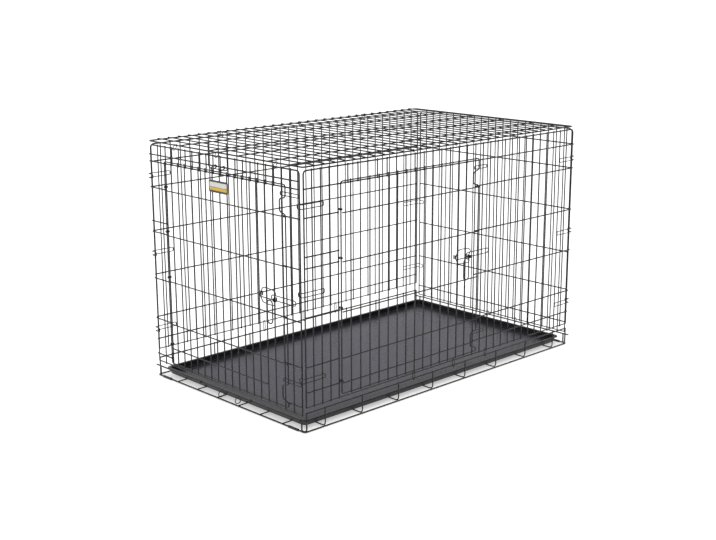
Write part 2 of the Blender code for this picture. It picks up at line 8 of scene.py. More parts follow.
# %% Load the frame
import math
import random

import bmesh
import bpy
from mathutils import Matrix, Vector


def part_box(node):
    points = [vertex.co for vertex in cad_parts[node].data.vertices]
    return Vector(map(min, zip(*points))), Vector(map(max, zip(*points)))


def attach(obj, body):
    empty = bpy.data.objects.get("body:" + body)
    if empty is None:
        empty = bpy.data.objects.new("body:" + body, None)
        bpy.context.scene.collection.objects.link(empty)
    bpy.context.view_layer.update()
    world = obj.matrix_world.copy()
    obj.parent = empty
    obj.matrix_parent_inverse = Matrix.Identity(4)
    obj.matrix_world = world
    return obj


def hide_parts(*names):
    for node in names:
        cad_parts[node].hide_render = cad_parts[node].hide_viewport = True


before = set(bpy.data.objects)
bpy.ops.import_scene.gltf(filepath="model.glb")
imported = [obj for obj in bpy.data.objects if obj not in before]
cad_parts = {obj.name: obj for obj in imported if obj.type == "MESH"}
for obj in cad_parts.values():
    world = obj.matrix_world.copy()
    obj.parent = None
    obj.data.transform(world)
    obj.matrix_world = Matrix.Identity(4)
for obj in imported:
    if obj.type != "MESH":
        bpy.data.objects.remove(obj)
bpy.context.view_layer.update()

# %% [markdown]
# Every place is worked out from the CAD model's own boxes where it has one, so a wire
# lands where its solid is. Lengths are in metres. The near side is the long wall with
# the side door, at -Y, and the front is the end with the other door, at -X.

# %% Planes and levels of the crate
MM = 0.001
_, far_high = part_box("far_wall")
roof_low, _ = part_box("roof")
_, rear_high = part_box("rear_wall")
_, rim_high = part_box("base_rim_near")
_, bar_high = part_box("base_bar_front")
pan_low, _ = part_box("pan_wall_front")
_, pan_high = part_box("pan_wall_rear")

FRAME_R = 2.5 * MM  # the thick wires round each grille
GRID_R = 2.1 * MM  # the upright wires inside it
LEVEL_R = 2.3 * MM  # the level wires across them
LAYER = 3.2 * MM  # the level wires lie this far outside the uprights
END_X = 0.634
SIDE_Y = 0.374
SIDE_HALF = far_high.x
END_HALF = rear_high.y
WALL_TOP = 0.787
ROOF_Z = 0.797
ROOF_NEAR_Y = roof_low.y + FRAME_R
ROOF_FAR_Y = 0.384
BASE_Z = 4.2 * MM
RIM_Z = rim_high.z - FRAME_R
BAR_Z = bar_high.z - FRAME_R
DOOR_OFF = 8 * MM
PITCH_LONG = 0.040
PITCH_END = 0.0365
NEAR_PITCH, FAR_PITCH, REAR_PITCH = PITCH_LONG * 0.95, PITCH_LONG * 0.98, PITCH_END * 0.95
print("crate", SIDE_HALF * 2, END_HALF * 2, WALL_TOP)

# %% [markdown]
# Wires are curves with a round bevel. One curve object can hold all the wires of a
# grille as separate splines, and the radius of each point sets the thickness there.
# That keeps every wire editable, which a mesh made of tubes wouldn't. Real welded
# wires are never quite straight, so each straight one bows by a fraction of a
# millimetre, and its highlight wanders a little, as it does on the real crate.

# %% Helpers that bend and bow wires
jitter = random.Random(4)
BOW = 0.35 * MM


def bent(points, bend, closed=False, steps=4):
    """The path through these points with each corner rounded to about this radius."""
    points = [Vector(p) for p in points]
    count = len(points)
    path = []
    for i, corner in enumerate(points):
        if not closed and i in (0, count - 1):
            path.append(corner)
            continue
        before, after = points[i - 1] - corner, points[(i + 1) % count] - corner
        reach = min(bend, before.length / 2.01, after.length / 2.01)
        start = corner + before.normalized() * reach
        end = corner + after.normalized() * reach
        for k in range(steps + 1):
            t = k / steps
            path.append((1 - t) ** 2 * start + 2 * t * (1 - t) * corner + t * t * end)
    return path


def bowed(start, end):
    """A straight wire with a very slight bow."""
    start, end = Vector(start), Vector(end)
    side = Vector((jitter.uniform(-1, 1), jitter.uniform(-1, 1), jitter.uniform(-1, 1)))
    along = (end - start).normalized()
    side -= along * side.dot(along)
    return [start, (start + end) / 2 + side * BOW, end]


def oval(centre, across, up, length, height, steps=10):
    """A closed loop with round ends, its length along across and its height along up."""
    centre, across, up = Vector(centre), Vector(across), Vector(up)
    radius = height / 2
    path = []
    for sign, first in ((1, -math.pi / 2), (-1, math.pi / 2)):
        middle = centre + across * sign * (length / 2 - radius)
        for k in range(steps + 1):
            a = first + math.pi * k / steps
            path.append(middle + (across * math.cos(a) + up * math.sin(a)) * radius)
    return path


def coil(centre, axis_dir, turn_dir, radius, length, turns, steps=10):
    """A helix of wire round a line through centre."""
    centre, axis_dir, turn_dir = Vector(centre), Vector(axis_dir), Vector(turn_dir)
    other = axis_dir.cross(turn_dir)
    total = turns * steps
    return [centre + axis_dir * length * (k / total - 0.5)
            + (turn_dir * math.cos(2 * math.pi * k / steps)
               + other * math.sin(2 * math.pi * k / steps)) * radius
            for k in range(total + 1)]


# %% Helper that makes one piece out of wires
def wire_piece(name, body, finish, wires, nodes):
    """wires holds (path, radius, closed). The piece stands for these CAD nodes."""
    curve = bpy.data.curves.new(name, "CURVE")
    curve.dimensions = "3D"
    curve.bevel_depth = MM
    curve.bevel_resolution = 2
    curve.use_fill_caps = True
    for path, radius, closed in wires:
        spline = curve.splines.new("POLY")
        spline.points.add(len(path) - 1)
        for point, place in zip(spline.points, path):
            point.co = (*place, 1)
            point.radius = radius / MM
        spline.use_cyclic_u = closed
        spline.use_smooth = True
    curve.materials.append(finish)
    piece = bpy.data.objects.new(name, curve)
    bpy.context.scene.collection.objects.link(piece)
    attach(piece, body)
    if nodes:
        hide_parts(*nodes)
    print(name, len(wires), "wires on", body)
    return piece


# %% [markdown]
# A few pieces aren't wire: the sleeves, the pan and the plate. Each is a skin stretched
# over loops of points, which is how such a shape is lofted by hand too. One helper fills
# in the faces between the loops, and one turns the result into a piece.

# %% Helpers that make one piece out of loops of points
def skin(bm, loops):
    """Adds the faces between each loop of vertices and the next, and returns them."""
    faces = []
    for one, following in zip(loops, loops[1:]):
        for k in range(len(one)):
            after = (k + 1) % len(one)
            faces.append(bm.faces.new((one[k], one[after], following[after], following[k])))
    return faces


def mesh_piece(name, body, finishes, bm, nodes, smooth):
    """Turns the mesh into a piece that stands for these CAD nodes. Smooth spares flat caps."""
    bmesh.ops.recalc_face_normals(bm, faces=bm.faces)
    mesh = bpy.data.meshes.new(name)
    bm.to_mesh(mesh)
    bm.free()
    for polygon in mesh.polygons:
        polygon.use_smooth = smooth and len(polygon.vertices) == 4
    for finish in finishes:
        mesh.materials.append(finish)
    piece = bpy.data.objects.new(name, mesh)
    bpy.context.scene.collection.objects.link(piece)
    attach(piece, body)
    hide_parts(*nodes)
    print(name, len(mesh.polygons), "faces on", body)
    return piece


# %% [markdown]
# Finishes are node materials. Most steps in them are the same few nodes, so each kind
# has a helper that takes what goes in and hands back what comes out.

# %% Helpers for nodes
def calculate(tree, operation, *values):
    """The result of a Math node on these values, each a number or a node's output."""
    node = tree.nodes.new("ShaderNodeMath")
    node.operation = operation
    for value, socket in zip(values, node.inputs):
        if isinstance(value, bpy.types.NodeSocket):
            tree.links.new(value, socket)
        else:
            socket.default_value = value
    return node.outputs[0]


def ranged(tree, value, source, target, smooth=False):
    """Carries a value over from the source range to the target range."""
    node = tree.nodes.new("ShaderNodeMapRange")
    if smooth:
        node.interpolation_type = "SMOOTHSTEP"
    for socket, number in zip(("From Min", "From Max", "To Min", "To Max"), (*source, *target)):
        node.inputs[socket].default_value = number
    tree.links.new(value, node.inputs["Value"])
    return node.outputs["Result"]


def painted(tree, share, under, colour):
    """Lays a flat colour over another colour, as strongly as share says."""
    node = tree.nodes.new("ShaderNodeMix")
    node.data_type = "RGBA"
    node.inputs["B"].default_value = (*colour, 1)
    tree.links.new(share, node.inputs["Factor"])
    tree.links.new(under, node.inputs["A"])
    return node.outputs["Result"]


def object_axes(tree):
    """The X, Y and Z of the object coordinates, as the outputs of one node."""
    split = tree.nodes.new("ShaderNodeSeparateXYZ")
    tree.links.new(tree.nodes.new("ShaderNodeTexCoord").outputs["Object"], split.inputs[0])
    return split.outputs


# %% [markdown]
# No real surface is one flat colour. The helper below gives each finish noise for its
# colour and its gloss, and fine noise for bump. Object coordinates are in metres here,
# so a noise scale of 500 gives detail of about 2 mm.

# %% Helper for a finish with mottled colour, uneven gloss and fine bump
PATCH_DETAIL, GRAIN_DETAIL = 4, 3
NOISE_SPREAD = (0.3, 0.7)  # most of the noise lies between these
BUMP_DEPTH = 0.2 * MM


def noise(tree, scale, detail):
    """A noise over the object's own coordinates."""
    node = tree.nodes.new("ShaderNodeTexNoise")
    node.inputs["Scale"].default_value = scale
    node.inputs["Detail"].default_value = detail
    tree.links.new(tree.nodes.new("ShaderNodeTexCoord").outputs["Object"], node.inputs["Vector"])
    return node.outputs["Fac"]


def finish_of(name, dark, light, rough, patch_scale, grain_scale, bump, metallic=0.0, specular=0.5):
    """Returns the material, its Principled shader and its mottled colour."""
    material = bpy.data.materials.new(name)
    material.use_nodes = True
    tree = material.node_tree
    shader = tree.nodes["Principled BSDF"]
    shader.inputs["Metallic"].default_value = metallic
    shader.inputs["Specular IOR Level"].default_value = specular
    patches = noise(tree, patch_scale, PATCH_DETAIL)
    tint = tree.nodes.new("ShaderNodeMix")
    tint.data_type = "RGBA"
    tint.inputs["A"].default_value = (*dark, 1)
    tint.inputs["B"].default_value = (*light, 1)
    tree.links.new(patches, tint.inputs["Factor"])
    tree.links.new(tint.outputs["Result"], shader.inputs["Base Color"])
    tree.links.new(ranged(tree, patches, NOISE_SPREAD, rough), shader.inputs["Roughness"])
    relief = tree.nodes.new("ShaderNodeBump")
    relief.inputs["Strength"].default_value = bump
    relief.inputs["Distance"].default_value = BUMP_DEPTH
    tree.links.new(noise(tree, grain_scale, GRAIN_DETAIL), relief.inputs["Height"])
    tree.links.new(relief.outputs["Normal"], shader.inputs["Normal"])
    print("finish", name)
    return material, shader, tint.outputs["Result"]


# %% [markdown]
# The wire has a smooth black coat, baked on over steel. It reads as black with thin pale
# streaks, so it is dark, fairly glossy and slightly uneven: the coat is thicker in some
# places, and a little dust dulls others. Rings and clips are barer and duller steel.

# %% Black coat and dark steel
coat_black = finish_of("black_wire_coat", (0.004, 0.004, 0.005), (0.014, 0.014, 0.015),
                       (0.16, 0.32), 45, 900, 0.25, specular=0.30)[0]
ring_black = finish_of("black_ring_steel", (0.010, 0.010, 0.011), (0.040, 0.040, 0.042),
                       (0.28, 0.45), 160, 1200, 0.3, metallic=0.4)[0]

# %% [markdown]
# A grille is an outer frame wire bent to a rectangle, uprights in the same plane, and
# level wires laid across them on the outside and welded. The welds are spots where the
# two wires sink into each other, so the layers overlap slightly. Each thin wire is cut
# off just past the frame wire it is welded to, and the ends show as small bumps.

# %% Wires of a grille
WIRE_END = 4.0 * MM
NUB_R = 2.6 * MM


def side_place(side):
    """Maps (along, outwards, height) on a long wall to a point."""
    return lambda s, off, z: (s, side * (SIDE_Y + off), z)


def end_place(side):
    """Maps (along, outwards, height) on an end wall to a point. Along runs to -Y."""
    return lambda s, off, z: (side * (END_X + off), -s, z)


def even(low, high, pitch):
    """Places strictly between low and high, about a pitch apart."""
    count = max(1, round((high - low) / pitch))
    return [low + (high - low) * i / count for i in range(1, count)]


def frame_loop(place, s0, s1, z0, z1, corner=0.012):
    """The thick wire round a grille: round bends at the top, cut and welded square below."""
    s0, s1 = s0 + FRAME_R, s1 - FRAME_R
    sides = bent([place(s0, 0, z0), place(s0, 0, z1), place(s1, 0, z1), place(s1, 0, z0)], corner)
    return (sides, FRAME_R, True)


def upright_wires(place, places, z0, z1):
    return [(bowed(place(s, 0, z0 - WIRE_END), place(s, 0, z1 + WIRE_END)), GRID_R, False)
            for s in places]


def end_nubs(place, places, z, off=0):
    """The thickened ends of the thin wires, where each is welded to a wire below it."""
    return [([place(s, off, z - WIRE_END), place(s, off, z + 1 * MM)], NUB_R, False) for s in places]


def level_wires(place, heights, s0, s1):
    return [(bowed(place(s0, LAYER, z), place(s1, LAYER, z)), LEVEL_R, False) for z in heights]


# %% [markdown]
# The corner hooks hold the standing walls together. Each is one long loop of wire,
# welded along the long wall and bent round the corner, where its short leg laps the end
# wall. The loop is one closed path of six corners, each bent a little.

# %% Corner hooks
HOOK_HEIGHTS = (0.165, 0.426, 0.685)
HOOK_R = 1.5 * MM
HOOK_LONG = 0.085
HOOK_SHORT = {-1: 0.018, 1: 0.026}  # the near side's hooks barely lap the end walls
HOOK_TALL = 13 * MM
HOOK_BEND = 4.5 * MM
HOOK_OFF = 4.3 * MM  # against the end wall's frame wire, between its level wires


def corner_hook(x_side, y_side, z):
    """A closed loop that runs along the long wall, round the corner and along the end wall."""
    corner_x = x_side * (END_X + HOOK_OFF)
    corner_y = y_side * (SIDE_Y + LAYER)
    tip_x = corner_x - x_side * HOOK_LONG
    tip_y = corner_y - y_side * HOOK_SHORT[y_side]
    turns = [(tip_x, corner_y), (corner_x, corner_y), (corner_x, tip_y)]
    path = [(x, y, z - HOOK_TALL / 2) for x, y in turns]
    path += [(x, y, z + HOOK_TALL / 2) for x, y in reversed(turns)]
    return (bent(path, HOOK_BEND, closed=True), HOOK_R, True)


def corner_hooks(y_side):
    return [corner_hook(x_side, y_side, z) for x_side in (-1, 1) for z in HOOK_HEIGHTS]


# %% [markdown]
# The long wall on the near side has the larger doorway. Its uprights stop at the
# doorway, where only a narrow strip of grille crosses above it and one wire below.

# %% Near wall
near = side_place(-1)
SIDE_BAY = (-0.494, 0.112)
SIDE_DOOR = (-0.490, 0.120)
NEAR_LOW_Z = 0.080
SIDE_LEVELS = (0.127, 0.205, 0.356, 0.503, 0.651)
SHORT_LEVEL = 0.537  # a level wire that crosses only the bay beside the door
SIDE_HEAD_Z = 0.735
EYE_HEIGHTS = (0.135, 0.363, 0.515, 0.661)
EYE_R, EYE_LONG, EYE_WIDE = 1.2 * MM, 13.4 * MM, 8.4 * MM
EYE_IN, EYE_STEP = 2.5 * MM, 3 * MM


def hinge_eyes(place, door_s):
    """Small wire eyes on the wall that the door's hinge wire turns in."""
    out = Vector(place(0, 1, 0)) - Vector(place(0, 0, 0))
    along = Vector(place(1, 0, 0)) - Vector(place(0, 0, 0))
    eyes = []
    for z in EYE_HEIGHTS:
        for level in (z, z - EYE_STEP):
            centre = place(door_s, DOOR_OFF - EYE_IN, level)
            eyes.append((oval(centre, out, along, EYE_LONG, EYE_WIDE), EYE_R, True))
    return eyes


near_wires = [frame_loop(near, -SIDE_HALF, SIDE_HALF, NEAR_LOW_Z, WALL_TOP)]
near_bays = ((-SIDE_HALF, SIDE_BAY[0]), (SIDE_BAY[1], SIDE_HALF))
for low, high in near_bays:
    near_wires += upright_wires(near, even(low, high, NEAR_PITCH), NEAR_LOW_Z, WALL_TOP)
    near_wires += level_wires(near, SIDE_LEVELS, low, high)
near_wires += upright_wires(near, SIDE_BAY, NEAR_LOW_Z, WALL_TOP)
near_wires += upright_wires(near, even(*SIDE_BAY, PITCH_LONG), SIDE_HEAD_Z, WALL_TOP)
near_wires += level_wires(near, (SIDE_HEAD_Z,), -SIDE_HALF, SIDE_HALF)
near_wires += level_wires(near, (SHORT_LEVEL,), -SIDE_HALF, SIDE_BAY[0])
near_wires += end_nubs(near, even(*SIDE_BAY, PITCH_LONG), SIDE_HEAD_Z)
for low, high in near_bays:
    near_wires += end_nubs(near, even(low, high, NEAR_PITCH), NEAR_LOW_Z)
near_wires += hinge_eyes(near, SIDE_DOOR[0]) + corner_hooks(-1)
wire_piece("near_grille", "near_wall", coat_black, near_wires,
           ["near_bay_front", "near_bay_rear", "near_head", "near_sill"])

# %% [markdown]
# The far wall and the rear wall have no doorway, so each is one frame loop with a full
# set of uprights and level wires. The far wall carries corner hooks like the near one.

# %% Far wall
far = side_place(1)
FAR_LOW_Z = 0.094
FAR_LEVELS = (0.128, 0.205, 0.352, 0.500, 0.647, 0.730)
far_wires = [frame_loop(far, -SIDE_HALF, SIDE_HALF, FAR_LOW_Z, WALL_TOP)]
far_wires += upright_wires(far, even(-SIDE_HALF, SIDE_HALF, FAR_PITCH), FAR_LOW_Z, WALL_TOP)
far_wires += level_wires(far, FAR_LEVELS, -SIDE_HALF, SIDE_HALF) + corner_hooks(1)
wire_piece("far_grille", "far_wall", coat_black, far_wires, ["far_wall"])

# %% Rear wall
rear = end_place(1)
REAR_LOW_Z = 0.046
END_LEVELS = (0.082, 0.205, 0.343, 0.501, 0.649, 0.734)
rear_wires = [frame_loop(rear, -END_HALF, END_HALF, REAR_LOW_Z, WALL_TOP)]
rear_wires += upright_wires(rear, even(-END_HALF, END_HALF, REAR_PITCH), REAR_LOW_Z, WALL_TOP)
rear_wires += level_wires(rear, END_LEVELS, -END_HALF, END_HALF)
wire_piece("rear_grille", "rear_wall", coat_black, rear_wires, ["rear_wall"])

# %% [markdown]
# The door end is narrower and its doorway takes up most of it. The bay on the hinge
# side has a couple of uprights, and the strip above the door carries one more level.

# %% Front wall
front = end_place(-1)
FRONT_BAY = (-0.284, 0.289)
FRONT_DOOR = (-0.280, 0.312)
FRONT_LOW_Z = 0.056
HEAD_LEVEL = 0.757
front_wires = [frame_loop(front, -END_HALF, END_HALF, FRONT_LOW_Z, WALL_TOP)]
for low, high in ((-END_HALF, FRONT_BAY[0]), (FRONT_BAY[1], END_HALF)):
    front_wires += upright_wires(front, even(low, high, PITCH_END), FRONT_LOW_Z, WALL_TOP)
    front_wires += level_wires(front, END_LEVELS[:-1], low, high)
front_wires += upright_wires(front, FRONT_BAY, FRONT_LOW_Z, WALL_TOP)
front_wires += upright_wires(front, even(*FRONT_BAY, PITCH_END), END_LEVELS[-1], WALL_TOP)
front_wires += level_wires(front, (END_LEVELS[-1], HEAD_LEVEL), -END_HALF, END_HALF)
front_wires += level_wires(front, (SHORT_LEVEL,), -END_HALF, FRONT_BAY[0])
front_wires += hinge_eyes(front, FRONT_DOOR[0])
wire_piece("front_grille", "front_wall", coat_black, front_wires,
           ["front_bay_left", "front_bay_right", "front_head", "front_sill"])

# %% [markdown]
# The roof is one grille. Its cross wires run the short way at the full pitch. They lie
# on top of the edge wires and stick out a little past them, so the long edges look
# toothed from the side.

# %% Roof
ROOF_LEVELS_Y = (-0.310, -0.215, -0.075, 0.070, 0.220)
ROOF_BEND = 0.010
ROOF_X = SIDE_HALF - FRAME_R
roof_corners = [(-ROOF_X, ROOF_NEAR_Y, ROOF_Z), (ROOF_X, ROOF_NEAR_Y, ROOF_Z),
                (ROOF_X, ROOF_FAR_Y, ROOF_Z), (-ROOF_X, ROOF_FAR_Y, ROOF_Z)]
roof_wires = [(bent(roof_corners, ROOF_BEND, closed=True), FRAME_R, True)]
for x in even(-SIDE_HALF, SIDE_HALF, PITCH_LONG):
    roof_wires.append((bowed((x, ROOF_NEAR_Y - WIRE_END, ROOF_Z + LAYER),
                             (x, ROOF_FAR_Y + WIRE_END, ROOF_Z + LAYER)), GRID_R, False))
for y in ROOF_LEVELS_Y:
    roof_wires.append((bowed((-SIDE_HALF, y, ROOF_Z), (SIDE_HALF, y, ROOF_Z)), GRID_R, False))
wire_piece("roof_grille", "roof", coat_black, roof_wires, ["roof"])

# %% [markdown]
# A door is a light grille in its own edge wire. The edge steps inwards beside each
# catch, so that the catch's tip can pass it. The hinge side is a double wire: the
# door's edge and, right beside it, the last upright of the wall.

# %% Doors
DOOR_R = 2.1 * MM
STEP_IN = 0.026
STEP_SLOPE = 6 * MM
DOOR_BEND = 0.008
LEVEL_INSET = 3 * MM  # the level wires stop short of the hinge wire
DOOR_LEVELS = (0.205, 0.349, 0.502, 0.649)


def door_wires(place, door_s, door_z, steps, pitch):
    (s0, s1), (z0, z1) = door_s, door_z
    inner = s1 - STEP_IN
    path = [(s0, z0), (s0, z1), (s1, z1)]
    for high, low in steps:
        path += [(s1, high), (inner, high - STEP_SLOPE), (inner, low + STEP_SLOPE), (s1, low)]
    path.append((s1, z0))
    edge = bent([place(s, DOOR_OFF, z) for s, z in path], DOOR_BEND, closed=True)
    wires = [(edge, DOOR_R, True)]
    for s in even(s0, inner + STEP_SLOPE, pitch):
        wires.append((bowed(place(s, DOOR_OFF, z0 - WIRE_END), place(s, DOOR_OFF, z1 + WIRE_END)),
                      GRID_R, False))
    wires += end_nubs(place, even(s0, inner + STEP_SLOPE, pitch), z0, DOOR_OFF)
    off = DOOR_OFF + LAYER
    for z in DOOR_LEVELS:
        wires.append((bowed(place(s0 + LEVEL_INSET, off, z), place(s1, off, z)), GRID_R, False))
    return wires


# each row: the door, its wall's places, its span, height, steps and pitch, and the height and
# far end of a short level wire near its foot
DOORS = (("front_door", front, FRONT_DOOR, (0.068, 0.742), ((0.705, 0.655), (0.140, 0.085)),
          PITCH_END, 0.121, 0.218),
         ("side_door", near, SIDE_DOOR, (0.092, 0.742), ((0.705, 0.655), (0.165, 0.105)),
          PITCH_LONG, 0.127, 0.094))
for door, place, span, height, steps, pitch, short_z, short_end in DOORS:
    wires = door_wires(place, span, height, steps, pitch)
    short = bowed(place(span[0] + LEVEL_INSET, DOOR_OFF + LAYER, short_z),
                  place(short_end, DOOR_OFF + LAYER, short_z))
    wires.append((short, GRID_R, False))
    wire_piece(door + "_grille", door, coat_black, wires, [door])

# %% [markdown]
# Each door has one slide bolt. A bent loop on the door guides a rod that ends in a long
# hairpin, and a drop loop hangs from the rod, for a finger to lift and slide it. Guide,
# bolt and drop loop are separate wires, because each one moves on its own.

# %% Bolts, guides and drop loops
BRACKET_OFF, BOLT_OFF = 14.0 * MM, 17.6 * MM
BOLT_LENGTH = 0.125
HANG_IN, GUIDE_BACK = 0.020, 0.012  # from the CAD bolt's end to the drop loop, and on to the guide
UP = Vector((0, 0, 1))
# the guide's outline from its middle, along the wall and up, in mm
GUIDE_SHAPE = ((-37, 0), (-25, 22), (-11, 25), (27, 22), (37, 14), (27, 0), (31, -24), (4, -25),
               (-25, -22))
GUIDE_BEND, GUIDE_R = 6 * MM, 1.6 * MM
GUIDE_STEMS = ((-36, 2), (28, -6))  # its small coils, in the same way
COIL_IN, COIL_RADIUS, COIL_TALL, COIL_TURNS, COIL_R = 5.4 * MM, 3.9 * MM, 12 * MM, 3, 1.5 * MM
ROD_DROP, ROD_BACK, ROD_LAP, ROD_R = 5.5 * MM, 0.034, 4 * MM, 1.8 * MM
HAIRPIN_LONG, HAIRPIN_TALL, HAIRPIN_R = 0.110, 0.015, 1.6 * MM
WRAP_PLACES, WRAP_LONG, WRAP_TALL, WRAP_R = (0.0175, 0.0205), 8.6 * MM, 5.8 * MM, 1.3 * MM
DROP_LONG, DROP_WIDE, DROP_BELOW, DROP_R = 0.072, 0.024, 3.8 * MM, 1.9 * MM


def slide_bolt(prefix, place, solid_end, far_end, height):
    """solid_end is where the CAD bolt ends and far_end where this one does, along the wall."""
    across = Vector(place(1, 0, 0)) - Vector(place(0, 0, 0))
    out = Vector(place(0, 1, 0)) - Vector(place(0, 0, 0))
    hang = solid_end - BOLT_LENGTH + HANG_IN
    guide_s = hang - GUIDE_BACK
    path = [place(guide_s + a * MM, BRACKET_OFF, height + b * MM) for a, b in GUIDE_SHAPE]
    guide = [(bent(path, GUIDE_BEND, closed=True), GUIDE_R, True)]
    for a, b in GUIDE_STEMS:
        stem = place(guide_s + a * MM, BRACKET_OFF - COIL_IN, height + b * MM)
        guide.append((coil(stem, UP, out, COIL_RADIUS, COIL_TALL, COIL_TURNS), COIL_R, False))
    wire_piece(prefix + "_guide_loop", prefix + "_door", coat_black, guide,
               [prefix + "_latch_bracket"])
    rod_z = height - ROD_DROP
    rod = bowed(place(guide_s - ROD_BACK, BOLT_OFF, rod_z),
                place(far_end - HAIRPIN_LONG + ROD_LAP, BOLT_OFF, rod_z))
    hairpin = oval(place(far_end - HAIRPIN_LONG / 2, BOLT_OFF, rod_z + HAIRPIN_TALL / 2), across, UP,
                   HAIRPIN_LONG, HAIRPIN_TALL)
    wraps = [(oval(place(hang + d, BOLT_OFF, rod_z), UP, out, WRAP_LONG, WRAP_TALL), WRAP_R, True)
             for d in WRAP_PLACES]
    wire_piece(prefix + "_bolt_hairpin", prefix + "_bolt", coat_black,
               [(rod, ROD_R, False), (hairpin, HAIRPIN_R, True)] + wraps, [prefix + "_latch_bolt"])
    drop = oval(place(hang, BOLT_OFF, rod_z - DROP_BELOW - DROP_LONG / 2), UP, across,
                DROP_LONG, DROP_WIDE)
    wire_piece(prefix + "_drop_loop", prefix + "_handle", coat_black,
               [(drop, DROP_R, True)], [prefix + "_latch_handle"])


slide_bolt("front", front, 0.350, 0.363, 0.399)
slide_bolt("side", near, 0.160, 0.164, 0.431)

# %% [markdown]
# The catches are hairpins welded on the wall. Each reaches from the doorway to the
# wall's frame wire, and its round tip stands where the door's edge steps in.

# %% Catches
CATCH_HALF, CATCH_OFF, CATCH_BEND, CATCH_R = 5 * MM, 3.6 * MM, 3.5 * MM, 1.5 * MM


def catches(prefix, place, start, end, heights, body):
    wires = []
    for z in heights:
        corners = [(start, z + CATCH_HALF), (end, z + CATCH_HALF),
                   (end, z - CATCH_HALF), (start, z - CATCH_HALF)]
        loop = bent([place(s, CATCH_OFF, level) for s, level in corners], CATCH_BEND, closed=True)
        wires.append((loop, CATCH_R, True))
    wire_piece(prefix + "_catches", body, coat_black, wires, [])


catches("front", front, 0.285, 0.366, (0.150, 0.714), "front_wall")
catches("side", near, 0.103, 0.163, (0.157, 0.712), "near_wall")

# %% [markdown]
# The carry handle is one closed wire that stands up above the door end. Its foot turns
# in two small coils on a level wire of the wall, each drawn as two loops side by side.

# %% Carry handle
CARRY_OFF = 0.015
CARRY_FOOT_Z, CARRY_TOP_Z = 0.752, 0.834
CARRY_S = (-0.036, 0.056)
CARRY_BEND, CARRY_R = 0.010, 1.7 * MM
CARRY_LINKS = (-0.018, 0.023)
LINK_WIDE, LINK_WIRE_R, LINK_APART = 8.6 * MM, 1.1 * MM, 1.5 * MM
carry_turns = ((CARRY_S[0], CARRY_FOOT_Z), (CARRY_S[0], CARRY_TOP_Z),
               (CARRY_S[1], CARRY_TOP_Z), (CARRY_S[1], CARRY_FOOT_Z))
carry_path = bent([front(s, CARRY_OFF, z) for s, z in carry_turns], CARRY_BEND, closed=True)
wire_piece("carry_handle_wire", "carry_handle", coat_black,
           [(carry_path, CARRY_R, True)], ["carry_handle"])
link_loops = []
for s in CARRY_LINKS:
    for shift in (-LINK_APART, LINK_APART):
        low = Vector(front(s + shift, CARRY_OFF, CARRY_FOOT_Z))
        high = Vector(front(s + shift, LAYER, HEAD_LEVEL))
        along = (high - low).normalized()
        across = along.cross(Vector((0, 1, 0)))
        link = oval((low + high) / 2, along, across, (high - low).length + LINK_WIDE, LINK_WIDE)
        link_loops.append((link, LINK_WIRE_R, True))
wire_piece("carry_handle_links", "front_wall", ring_black, link_loops,
           ["carry_link_1", "carry_link_2"])

# %% [markdown]
# The panels turn on rings of heavy wire squeezed round two frame wires. Each is closed
# round the pair with a small gap left between its ends, which is drawn here as an open
# path that stops short of meeting itself.

# %% Hinge rings
RING_R = 1.2 * MM
LINK_R = 4.3 * MM
WIDE_LINK_R = 4.9 * MM


def ring_round(one, other, axis, radius=LINK_R):
    """An almost closed ring round two parallel wires, or round one when both are the same."""
    one, other = Vector(one), Vector(other)
    span = other - one
    along = span.normalized() if span.length else UP
    across = Vector(axis).cross(along)
    path = oval((one + other) / 2, along, across, span.length + 2 * radius, 2 * radius)
    return (path[4:] + path[:3], RING_R, False)


ALONG_X, ALONG_Y = (1, 0, 0), (0, 1, 0)
base_rings = [ring_round((END_X, y, BAR_Z), (END_X, y, REAR_LOW_Z), ALONG_Y) for y in (-0.137, 0, 0.135)]
for x in (-0.170, 0.020, 0.180):
    base_rings.append(ring_round((x, -SIDE_Y, RIM_Z), (x, -SIDE_Y, NEAR_LOW_Z), ALONG_X))
    base_rings.append(ring_round((x, SIDE_Y, RIM_Z), (x, SIDE_Y, FAR_LOW_Z), ALONG_X))
for y in (0.135, -0.120, -0.355):
    base_rings.append(ring_round((-END_X, y, BAR_Z), (-END_X, y, BAR_Z), ALONG_Y))
sides = [f"{wall}_hinge_ring_{i}" for wall in ("rear", "near", "far") for i in (1, 2, 3)]
wire_piece("base_hinge_rings", "base", ring_black, base_rings,
           sides + [f"front_bar_clip_{i}" for i in (1, 2, 3)])
roof_rings = [ring_round((x, ROOF_NEAR_Y, ROOF_Z), (x, ROOF_NEAR_Y, ROOF_Z), ALONG_X)
              for x in (-0.176, 0.019, 0.176)]
roof_rings += [ring_round((-END_X, y, WALL_TOP), (-ROOF_X, y, ROOF_Z), ALONG_Y, WIDE_LINK_R)
               for y in (0.235, 0.018, -0.256)]
wire_piece("roof_edge_rings", "roof", ring_black, roof_rings,
           [f"{kind}_ring_{i}" for kind in ("roof_edge", "front_hinge") for i in (1, 2, 3)])
far_rings = [ring_round((x, SIDE_Y, WALL_TOP), (x, ROOF_FAR_Y, ROOF_Z), ALONG_X)
             for x in (-0.334, 0.019, 0.334)]
wire_piece("far_top_rings", "far_wall", ring_black, far_rings,
           [f"roof_hinge_ring_{i}" for i in (1, 2, 3)])

# %% [markdown]
# The base is a shallow basket. Each floor wire that runs the short way turns up at
# both ends and is welded to the rim above, so the edge of the floor shows a row of
# round bends. Each corner post is one wire bent to a narrow U, from the end bar down to
# the floor and up to the rim.

